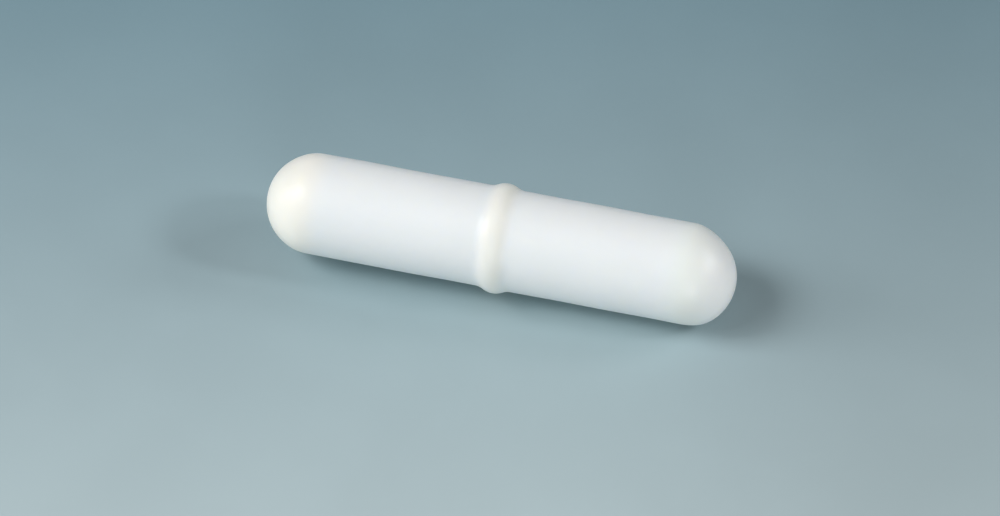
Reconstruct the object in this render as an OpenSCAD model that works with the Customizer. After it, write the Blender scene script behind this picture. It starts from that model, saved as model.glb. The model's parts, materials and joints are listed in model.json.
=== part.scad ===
// Magnetic stir bar: a rod magnet moulded into a white PTFE jacket with two round ends
// and a low pivot ring. The bar lies along X. The origin is on the bar's axis, in the
// middle of the ring.

/* [Bar] */
// Overall length, from one round end to the other
bar_length = 38; // [20:1:60]
// Diameter of the plain barrel
bar_diameter = 8; // [6:0.5:12]

/* [Pivot ring] */
// Height of the ring's crest above the barrel
ring_height = 0.36; // [0.2:0.02:0.8]
// Radius of the rounded crest, in section
ring_crest_radius = 1.53; // [0.6:0.03:2.4]
// Radius of the hollow that leads from the barrel up to the crest, in section
ring_fillet_radius = 1.53; // [0.6:0.03:2.4]

/* [Jacket] */
// Thickness of the jacket beside the magnet
side_wall = 1.2; // [0.8:0.05:1.8]
// Thickness of the jacket beyond each end of the magnet, along the axis
end_wall = 4; // [3:0.25:6]

/* [Magnet] */
// Chamfer round each end of the magnet
magnet_chamfer = 0.4; // [0.2:0.05:0.8]
// Clearance between the magnet and the pocket that it is sealed in
magnet_clearance = 0.05; // [0.02:0.01:0.1]

/* [Hidden] */
$fn = 96;

// Outer form
barrel_radius = bar_diameter / 2;
dome_centre = bar_length / 2 - barrel_radius;

// The crest arc and each fillet arc meet where the line between their centres crosses them.
crest_centre_radius = barrel_radius + ring_height - ring_crest_radius;
arc_centre_distance = ring_crest_radius + ring_fillet_radius;
ring_half_width = sqrt(pow(arc_centre_distance, 2) - pow(arc_centre_distance - ring_height, 2));
crest_share = ring_crest_radius / arc_centre_distance;
arc_join_radius = crest_centre_radius + crest_share * (arc_centre_distance - ring_height);

// Pocket, and the magnet in it
pocket_radius = barrel_radius - side_wall;
pocket_length = bar_length - 2 * end_wall;
magnet_radius = pocket_radius - magnet_clearance;
magnet_length = pocket_length - 2 * magnet_clearance;

// The sections are drawn with X as the distance from the bar's axis and Y along the bar.

// Barrel with a half-round end at each side
module capsule_section() {
    translate([0, -dome_centre]) square([barrel_radius, 2 * dome_centre]);
    for (side = [-1, 1])
        intersection() {
            translate([0, side * dome_centre]) circle(r = barrel_radius);
            translate([0, -bar_length]) square([bar_diameter, 2 * bar_length]);
        }
}

// Low round crest with a hollow fillet at each side, standing on the barrel
module ring_section() {
    difference() {
        translate([pocket_radius, -ring_half_width])
            square([arc_join_radius - pocket_radius, 2 * ring_half_width]);
        for (side = [-1, 1])
            translate([barrel_radius + ring_fillet_radius, side * ring_half_width])
                circle(r = ring_fillet_radius);
    }
    intersection() {
        translate([crest_centre_radius, 0]) circle(r = ring_crest_radius);
        translate([0, -ring_half_width]) square([bar_diameter, 2 * ring_half_width]);
    }
}

// Solid round rod along X, chamfered at both ends
module chamfered_rod(radius, length, chamfer) {
    rotate([0, 90, 0])
        rotate_extrude()
            polygon([
                [0, -length / 2],
                [radius - chamfer, -length / 2],
                [radius, -length / 2 + chamfer],
                [radius, length / 2 - chamfer],
                [radius - chamfer, length / 2],
                [0, length / 2]
            ]);
}

module ptfe_jacket() {
    color("white")
        difference() {
            rotate([0, 90, 0])
                rotate_extrude() {
                    capsule_section();
                    ring_section();
                }
            chamfered_rod(pocket_radius, pocket_length, magnet_chamfer);
        }
}

module magnet() {
    color("dimgray")
        chamfered_rod(magnet_radius, magnet_length, magnet_chamfer);
}

ptfe_jacket();
magnet();
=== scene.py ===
import json
import math

import bmesh
import bpy
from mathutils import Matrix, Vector, noise


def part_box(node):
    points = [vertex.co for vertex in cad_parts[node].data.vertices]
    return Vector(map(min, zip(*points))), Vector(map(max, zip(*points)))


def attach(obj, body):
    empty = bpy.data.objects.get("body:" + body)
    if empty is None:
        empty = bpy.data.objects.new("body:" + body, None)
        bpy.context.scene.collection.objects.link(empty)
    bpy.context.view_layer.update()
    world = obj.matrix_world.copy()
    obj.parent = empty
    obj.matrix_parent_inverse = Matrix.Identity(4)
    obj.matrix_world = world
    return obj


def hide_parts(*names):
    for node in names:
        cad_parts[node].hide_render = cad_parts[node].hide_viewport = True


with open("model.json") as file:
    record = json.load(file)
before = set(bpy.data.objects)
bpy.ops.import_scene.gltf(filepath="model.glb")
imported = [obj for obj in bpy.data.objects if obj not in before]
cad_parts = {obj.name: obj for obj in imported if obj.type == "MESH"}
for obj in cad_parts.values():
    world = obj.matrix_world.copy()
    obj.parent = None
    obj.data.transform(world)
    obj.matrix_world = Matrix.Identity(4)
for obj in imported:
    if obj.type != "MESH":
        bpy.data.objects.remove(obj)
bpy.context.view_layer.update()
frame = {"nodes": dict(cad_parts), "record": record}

# A magnetic stir bar: a rod magnet in a white PTFE jacket with round ends and a pivot ring.
# The bar lies along X with the ring in the middle. Everything is in metres.

mm = 0.001
weldDistance = 0.0005 * mm

# The barrel on one side of the ring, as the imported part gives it
barrel = next(m for m in frame["record"]["mounts"] if m["name"] == "barrel_right")
barrelRadius = barrel["dims"]["r_mm"] * mm
ringFoot = barrel["pos_m"][0] - barrel["dims"]["length_mm"] * mm / 2
domeCentre = barrel["pos_m"][0] + barrel["dims"]["length_mm"] * mm / 2
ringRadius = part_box("ptfe_jacket")[1].y
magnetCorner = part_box("magnet")[1]


def newObject(name, bm):
    mesh = bpy.data.meshes.new(name)
    bm.to_mesh(mesh)
    bm.free()
    obj = bpy.data.objects.new(name, mesh)
    bpy.context.scene.collection.objects.link(obj)
    return obj


def lastVert(result):
    return next(g for g in result["geom_last"] if isinstance(g, bmesh.types.BMVert))


def arcOn(bm, vert, centre, degrees, steps):
    # carries an outline in the XZ plane on from vert, along an arc about centre
    return lastVert(bmesh.ops.spin(
        bm, geom=[vert], cent=centre, axis=(0, 1, 0), dvec=(0, 0, 0),
        angle=math.radians(degrees), steps=steps, use_merge=False))


def lineOn(bm, vert, target):
    # carries an outline on from vert, in a straight line to target
    end = bmesh.ops.extrude_vert_indiv(bm, verts=[vert])["verts"][0]
    end.co = Vector(target)
    return end


def turnOnLathe(bm, steps):
    # spins the whole outline once round the bar's axis and closes its two poles
    bmesh.ops.spin(
        bm, geom=bm.verts[:] + bm.edges[:], cent=(0, 0, 0), axis=(1, 0, 0), dvec=(0, 0, 0),
        angle=2 * math.pi, steps=steps, use_merge=True)
    bmesh.ops.remove_doubles(bm, verts=bm.verts[:], dist=weldDistance)
    bmesh.ops.recalc_face_normals(bm, faces=bm.faces[:])


def smoothStep(start, end, value):
    # 0 at start and 1 at end, whichever way round they are
    t = max(0.0, min(1.0, (value - start) / (end - start)))
    return t * t * (3 - 2 * t)


class Nodes:
    # a short way to build the node tree of a material or a world
    def __init__(self, owner):
        self.owner = owner
        owner.use_nodes = True
        self.tree = owner.node_tree
        self.tree.nodes.clear()

    def add(self, kind, inputs=None, **settings):
        node = self.tree.nodes.new(kind)
        for key, value in settings.items():
            setattr(node, key, value)
        for key, value in (inputs or {}).items():
            socket = node.inputs[key]
            if isinstance(value, bpy.types.NodeSocket):
                self.tree.links.new(value, socket)
            else:
                socket.default_value = value
        return node

    def maths(self, operation, a, b=0.0):
        return self.add("ShaderNodeMath", {0: a, 1: b}, operation=operation).outputs[0]

    def ramp(self, value, low, high, outLow=0.0, outHigh=1.0):
        # smooth step from outLow at low to outHigh at high
        node = self.add(
            "ShaderNodeMapRange",
            {"Value": value, "From Min": low, "From Max": high, "To Min": outLow, "To Max": outHigh},
            interpolation_type="SMOOTHSTEP")
        return node.outputs["Result"]

    def mix(self, factor, a, b, blend="MIX"):
        node = self.add("ShaderNodeMix", data_type="RGBA", blend_type=blend)
        for key, value in ((0, factor), (6, a), (7, b)):
            if isinstance(value, bpy.types.NodeSocket):
                self.tree.links.new(value, node.inputs[key])
            else:
                node.inputs[key].default_value = value
        return node.outputs[2]

    def noise(self, vector, scale, detail=2.0, roughness=0.5):
        node = self.add(
            "ShaderNodeTexNoise",
            {"Vector": vector, "Scale": scale, "Detail": detail, "Roughness": roughness})
        return node.outputs["Fac"]


def srgb(r, g, b):
    # a colour given as it shows on screen, 0 to 255
    def linear(c):
        c /= 255
        return c / 12.92 if c <= 0.04045 else ((c + 0.055) / 1.055) ** 2.4
    return (linear(r), linear(g), linear(b), 1.0)


jacketShape = {
    "crestRadius": 1.53 * mm,   # of the ring's rounded top, in section
    "domeSteps": 40,
    "filletSteps": 12,
    "crestSteps": 16,
    "barrelCuts": 56,
    "roundSteps": 160,
    "pocketGap": 0.05 * mm,     # between the magnet and the pocket round it
    "pocketChamfer": 0.4 * mm,
    "pocketSteps": 64,
    "waveHeight": 0.03 * mm,    # slow unevenness of the moulded skin
    "waveLength": 4.0 * mm,
    "ringLean": 0.23 * mm,      # how far the top of the ring leans to the left, and its foot to the right
    "leanReach": 3.0,           # how far along the barrel that dies out, in half-widths of the ring
    "leftShort": 0.13 * mm,     # how far short the left-hand tip stops
    "shortOver": 0.5,           # over how much of the left end, in barrel radii
    "endSag": 0.25 * mm,        # how far the right-hand tip has sagged
    "sagOver": 0.7,             # over how much of the right end, in barrel radii
    "sagTowards": (0, -0.8, -0.6),
}


def makeJacket(shape):
    crest = shape["crestRadius"]
    ringHeight = ringRadius - barrelRadius
    arcs = (ringFoot ** 2 + ringHeight ** 2) / (2 * ringHeight)   # crest and fillet radii together
    fillet = arcs - crest
    turn = math.degrees(math.asin(ringFoot / arcs))

    bm = bmesh.new()
    vert = bm.verts.new((-domeCentre - barrelRadius, 0, 0))
    vert = arcOn(bm, vert, (-domeCentre, 0, 0), 90, shape["domeSteps"])
    vert = lineOn(bm, vert, (-ringFoot, 0, barrelRadius))
    vert = arcOn(bm, vert, (-ringFoot, 0, barrelRadius + fillet), -turn, shape["filletSteps"])
    vert = arcOn(bm, vert, (0, 0, ringRadius - crest), 2 * turn, shape["crestSteps"])
    vert = arcOn(bm, vert, (ringFoot, 0, barrelRadius + fillet), -turn, shape["filletSteps"])
    vert = lineOn(bm, vert, (domeCentre, 0, barrelRadius))
    arcOn(bm, vert, (domeCentre, 0, 0), 90, shape["domeSteps"])
    barrels = [e for e in bm.edges if e.calc_length() > 2 * ringFoot]
    bmesh.ops.subdivide_edges(bm, edges=barrels, cuts=shape["barrelCuts"])
    turnOnLathe(bm, shape["roundSteps"])

    addMouldingFaults(bm, shape)
    bm.normal_update()
    return bm


def addMouldingFaults(bm, shape):
    # small amounts by which a moulded bar is out of true
    sag = Vector(shape["sagTowards"]).normalized() * shape["endSag"]
    for v in bm.verts:
        inBarrel = max(-domeCentre, min(domeCentre, v.co.x))
        out = (v.co - Vector((inBarrel, 0, 0))).normalized()
        wave = noise.noise(v.co / shape["waveLength"]) * shape["waveHeight"]
        nearRing = smoothStep(shape["leanReach"] * ringFoot, ringFoot, abs(v.co.x))
        atRightTip = smoothStep(domeCentre, domeCentre + shape["sagOver"] * barrelRadius, v.co.x)
        atLeftTip = smoothStep(-domeCentre, -domeCentre - shape["shortOver"] * barrelRadius, v.co.x)
        v.co += out * wave + sag * atRightTip
        v.co.x += atLeftTip * shape["leftShort"] - nearRing * out.z * shape["ringLean"]


def addPocket(bm, shape):
    # the sealed pocket round the magnet, its faces turned towards the magnet
    gap, chamfer = shape["pocketGap"], shape["pocketChamfer"]
    end, radius = magnetCorner.x + gap, magnetCorner.y + gap
    pocket = bmesh.new()
    vert = pocket.verts.new((-end, 0, 0))
    for x, z in ((-end, radius - chamfer), (chamfer - end, radius), (end - chamfer, radius),
                 (end, radius - chamfer), (end, 0)):
        vert = lineOn(pocket, vert, (x, 0, z))
    turnOnLathe(pocket, shape["pocketSteps"])
    bmesh.ops.reverse_faces(pocket, faces=pocket.faces[:])
    inner = bpy.data.meshes.new("pocket")
    pocket.to_mesh(inner)
    pocket.free()
    bm.from_mesh(inner)
    bpy.data.meshes.remove(inner)


ptfeFinish = {
    "overMagnet": srgb(241, 250, 246),    # thin skin over the dark magnet, a little cooler
    "endFade": (-1.5 * mm, 1.0 * mm),     # where that gives way to the ends, from the magnet's end
    "ring": srgb(247, 246, 237),
    "ringCore": 0.4 * mm,                 # how far from the middle the ring keeps its full colour
    "leftEndCreamAndPaintedLight": srgb(250, 244, 235),       # thick ends, a little creamier, and this left one warmer still with painted light from the lamps on the left
    # painted shade: the right-hand end's shoulder darker, away from the lamps on the left
    "rightShoulderPaintedShade": srgb(236, 240, 235),
    # painted light and reflection: the right-hand tip brighter and cooler, for the small lamp on the
    # right and the bluish paper mirrored there
    "rightEndPaintedLight": srgb(244, 247, 246),
    "rightOver": 0.8,                     # over how much of the right end the painted shade gives way to the painted tip light, in barrel radii
    "cloud": srgb(226, 228, 224),         # faint patches in the moulding
    "cloudAmount": 0.05,
    "cloudScale": 260.0,
    "roughness": (0.30, 0.38),
    "roughnessScale": 900.0,
    "grainScale": 3500.0,                 # the fine grain of the pressed skin
    "grainStrength": 0.12,
    "grainHeight": 0.01 * mm,
    "refraction": 1.36,
    "scatterDepth": 1.6 * mm,             # how far light wanders inside
    "scatterShares": (1.0, 0.95, 0.85),   # of that, for red, green and blue
}


def ptfeMaterial(finish):
    n = Nodes(bpy.data.materials.new("ptfe"))
    place = n.add("ShaderNodeTexCoord").outputs["Object"]
    x = n.add("ShaderNodeSeparateXYZ", {0: place}).outputs["X"]
    along = n.maths("ABSOLUTE", x)
    start, end = finish["endFade"]
    inEnd = n.ramp(along, magnetCorner.x + start, magnetCorner.x + end)
    inRing = n.ramp(along, finish["ringCore"], ringFoot, 1.0, 0.0)
    # painted light along the bar: warm on the left, shaded at the right-hand shoulder, brighter and
    # cooler at the right-hand tip
    paintedTipMask = n.ramp(x, domeCentre, domeCentre + finish["rightOver"] * barrelRadius)
    rightEndPaintedLight = n.mix(paintedTipMask, finish["rightShoulderPaintedShade"], finish["rightEndPaintedLight"])
    ends = n.mix(n.ramp(x, -domeCentre, domeCentre), finish["leftEndCreamAndPaintedLight"], rightEndPaintedLight)
    colour = n.mix(inEnd, finish["overMagnet"], ends)
    colour = n.mix(inRing, colour, finish["ring"])
    cloud = n.ramp(n.noise(place, finish["cloudScale"], 3.0), 0.35, 0.65, 0.0, finish["cloudAmount"])
    colour = n.mix(cloud, colour, finish["cloud"])
    low, high = finish["roughness"]
    rough = n.ramp(n.noise(place, finish["roughnessScale"], 4.0), 0.3, 0.7, low, high)
    bump = n.add("ShaderNodeBump", {
        "Strength": finish["grainStrength"], "Distance": finish["grainHeight"],
        "Height": n.noise(place, finish["grainScale"], 3.0, 0.6)})
    shader = n.add("ShaderNodeBsdfPrincipled", {
        "Base Color": colour, "Roughness": rough, "Normal": bump.outputs[0],
        "IOR": finish["refraction"], "Subsurface Weight": 1.0,
        "Subsurface Radius": finish["scatterShares"], "Subsurface Scale": finish["scatterDepth"]})
    n.add("ShaderNodeOutputMaterial", {"Surface": shader.outputs[0]})
    return n.owner


jacketMesh = makeJacket(jacketShape)
addPocket(jacketMesh, jacketShape)
for face in jacketMesh.faces:
    face.smooth = True
jacket = newObject("ptfeJacket", jacketMesh)
jacket.data.materials.append(ptfeMaterial(ptfeFinish))
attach(jacket, "root")
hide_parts("ptfe_jacket")
print("jacket made:", len(jacket.data.polygons), "faces")


castMetal = {
    "dark": srgb(84, 82, 80),
    "light": srgb(128, 126, 123),
    "castScale": 1400.0,
    "castStrength": 0.5,
    "castHeight": 0.02 * mm,
    "lineScale": 700.0,           # of the lines that grinding leaves round the rod
    "lineStretch": (12.0, 1.0, 1.0),
    "roughness": (0.35, 0.6),
    "metallic": 0.9,
}


def magnetMaterial(finish):
    n = Nodes(bpy.data.materials.new("castMagnetAlloy"))
    place = n.add("ShaderNodeTexCoord").outputs["Object"]
    cast = n.noise(place, finish["castScale"], 6.0, 0.6)
    colour = n.mix(cast, finish["dark"], finish["light"])
    stretched = n.add("ShaderNodeMapping", {"Vector": place, "Scale": finish["lineStretch"]}).outputs[0]
    low, high = finish["roughness"]
    rough = n.ramp(n.noise(stretched, finish["lineScale"]), 0.3, 0.7, low, high)
    bump = n.add("ShaderNodeBump", {
        "Strength": finish["castStrength"], "Distance": finish["castHeight"], "Height": cast})
    shader = n.add("ShaderNodeBsdfPrincipled", {
        "Base Color": colour, "Roughness": rough, "Metallic": finish["metallic"],
        "Normal": bump.outputs[0]})
    n.add("ShaderNodeOutputMaterial", {"Surface": shader.outputs[0]})
    return n.owner


magnet = frame["nodes"]["magnet"]
magnet.data.materials.clear()
magnet.data.materials.append(magnetMaterial(castMetal))
print("magnet finished")


cameraPlace = {
    "azimuth": 13.85,         # degrees round the bar, from square on
    "elevation": 49.7,
    "distance": 750 * mm,
    "frameWidth": 78.58 * mm,   # what the picture's width takes in at the bar
    "aimBelow": 1.54 * mm,      # the bar's middle sits this far above the picture's
    "aimLeft": 0.04 * mm,       # and this far right of it
}

azimuth = math.radians(cameraPlace["azimuth"])
elevation = math.radians(cameraPlace["elevation"])
viewRight = Vector((math.cos(azimuth), math.sin(azimuth), 0))
viewAway = Vector((-math.sin(azimuth), math.cos(azimuth), 0))
viewBack = -viewAway * math.cos(elevation) + Vector((0, 0, math.sin(elevation)))
viewUp = viewAway * math.sin(elevation) + Vector((0, 0, math.cos(elevation)))


def placeCamera(place):
    data = bpy.data.cameras.new("camera")
    data.lens = data.sensor_width * place["distance"] / place["frameWidth"]
    data.clip_start = 10 * mm
    data.clip_end = 10.0
    camera = bpy.data.objects.new("camera", data)
    aim = -viewUp * place["aimBelow"] - viewRight * place["aimLeft"]
    camera.location = aim + viewBack * place["distance"]
    camera.rotation_mode = "QUATERNION"
    camera.rotation_quaternion = viewBack.to_track_quat("Z", "Y")
    bpy.context.scene.collection.objects.link(camera)
    bpy.context.scene.camera = camera


floorPaper = {
    "near": srgb(191, 207, 210),     # painted light: towards the camera the paper is painted brighter
    # painted shade: away from the camera the paper is painted darker
    "far": srgb(106, 138, 151),
    "fadeOver": 60 * mm,             # how far the painted fade of light reaches, each way from the bar
    "paintedRightShade": 0.87,              # painted shade: the paper a little darker on the right
    "shadeFrom": 2 * mm,             # where that starts, from the bar's middle
    "shadeOver": 33 * mm,
    "mottle": 0.03,
    "mottleScale": 90.0,
    "roughness": (0.6, 0.8),
    "roughnessScale": 2500.0,
    "sheen": 0.1,
    "size": 0.8,                     # half its width
    "strips": 400,                   # it is bent along X only
    "bend": 20 * mm,                 # it is about level from twice this far from the bar's middle
}


def floorMaterial(paper):
    n = Nodes(bpy.data.materials.new("floorPaper"))
    place = n.add("ShaderNodeTexCoord").outputs["Object"]
    turned = n.add("ShaderNodeMapping", {"Vector": place, "Rotation": (0, 0, -azimuth)}).outputs[0]
    axes = n.add("ShaderNodeSeparateXYZ", {0: turned}).outputs
    reach = paper["fadeOver"]
    # painted light and shade: the paper brighter towards the camera and darker away from it
    colour = n.mix(n.ramp(axes["Y"], -reach, reach), paper["near"], paper["far"])
    start = paper["shadeFrom"]
    # painted shade: darker towards the right; the mottle below is the paper's own uneven tone
    shade = n.ramp(axes["X"], start, start + paper["shadeOver"], 1.0, paper["paintedRightShade"])
    half = paper["mottle"] / 2
    mottle = n.ramp(n.noise(place, paper["mottleScale"], 4.0), 0.3, 0.7, 1 - half, 1 + half)
    shade = n.maths("MULTIPLY", shade, mottle)
    colour = n.add("ShaderNodeVectorMath", {0: colour, "Scale": shade}, operation="SCALE").outputs[0]
    low, high = paper["roughness"]
    rough = n.ramp(n.noise(place, paper["roughnessScale"], 2.0), 0.3, 0.7, low, high)
    shader = n.add("ShaderNodeBsdfPrincipled", {
        "Base Color": colour, "Roughness": rough, "Specular IOR Level": paper["sheen"]})
    n.add("ShaderNodeOutputMaterial", {"Surface": shader.outputs[0]})
    return n.owner


def makeFloor(paper):
    # the bar leans on its ring and its right-hand end, so the paper comes up to that end
    rise = (ringRadius - barrelRadius) / math.tanh(domeCentre / paper["bend"])
    bm = bmesh.new()
    bmesh.ops.create_grid(bm, x_segments=paper["strips"], y_segments=1, size=paper["size"])
    for v in bm.verts:
        v.co.z = rise * math.tanh(v.co.x / paper["bend"]) - ringRadius
    for face in bm.faces:
        face.smooth = True
    floor = newObject("floor", bm)
    floor.data.materials.append(floorMaterial(paper))


lamps = {
    # degrees round from behind the camera (right is more than 0), degrees up, width, watts
    "keyLow": (-90, 20, 0.30, 1.26),
    "keyMiddle": (-90, 35, 0.30, 0.96),
    "keyHigh": (-90, 48, 0.30, 2.04),
    "keyFront": (-68, 50, 0.30, 1.44),
    "frontLow": (3, 12, 0.34, 1.85),
    "right": (81, 38, 0.13, 1.34),
    "backRight": (102, 32, 0.24, 1.35),
}
studio = {
    "lampDistance": 0.829,
    "fill": 0.13,                    # strength of the white light from all round
    "backdrop": srgb(190, 204, 210),
}


def softbox(name, distance, around, up, width, watts):
    # a square lamp that looks at the bar
    around, up = math.radians(around), math.radians(up)
    level = viewRight * math.sin(around) - viewAway * math.cos(around)
    direction = level * math.cos(up) + Vector((0, 0, math.sin(up)))
    data = bpy.data.lights.new(name, "AREA")
    data.size = width
    data.energy = watts
    lamp = bpy.data.objects.new(name, data)
    lamp.location = direction * distance
    lamp.rotation_mode = "QUATERNION"
    lamp.rotation_quaternion = direction.to_track_quat("Z", "Y")
    bpy.context.scene.collection.objects.link(lamp)


def makeWorld(light):
    # a dim white light all round, and a pale backdrop where it is seen or mirrored
    n = Nodes(bpy.data.worlds.new("studio"))
    rays = n.add("ShaderNodeLightPath").outputs
    seen = n.maths("MAXIMUM", rays["Is Camera Ray"], rays["Is Glossy Ray"])
    seen = n.maths("MAXIMUM", seen, rays["Is Transmission Ray"])
    fill = n.add("ShaderNodeBackground", {"Color": (1, 1, 1, 1), "Strength": light["fill"]})
    backdrop = n.add("ShaderNodeBackground", {"Color": light["backdrop"]})
    both = n.add("ShaderNodeMixShader", {0: seen, 1: fill.outputs[0], 2: backdrop.outputs[0]})
    n.add("ShaderNodeOutputWorld", {"Surface": both.outputs[0]})
    bpy.context.scene.world = n.owner


makeFloor(floorPaper)
for name, values in lamps.items():
    softbox(name, studio["lampDistance"], *values)
makeWorld(studio)
placeCamera(cameraPlace)
bpy.context.scene.view_settings.view_transform = "Standard"
print("floor, lamps and camera placed")
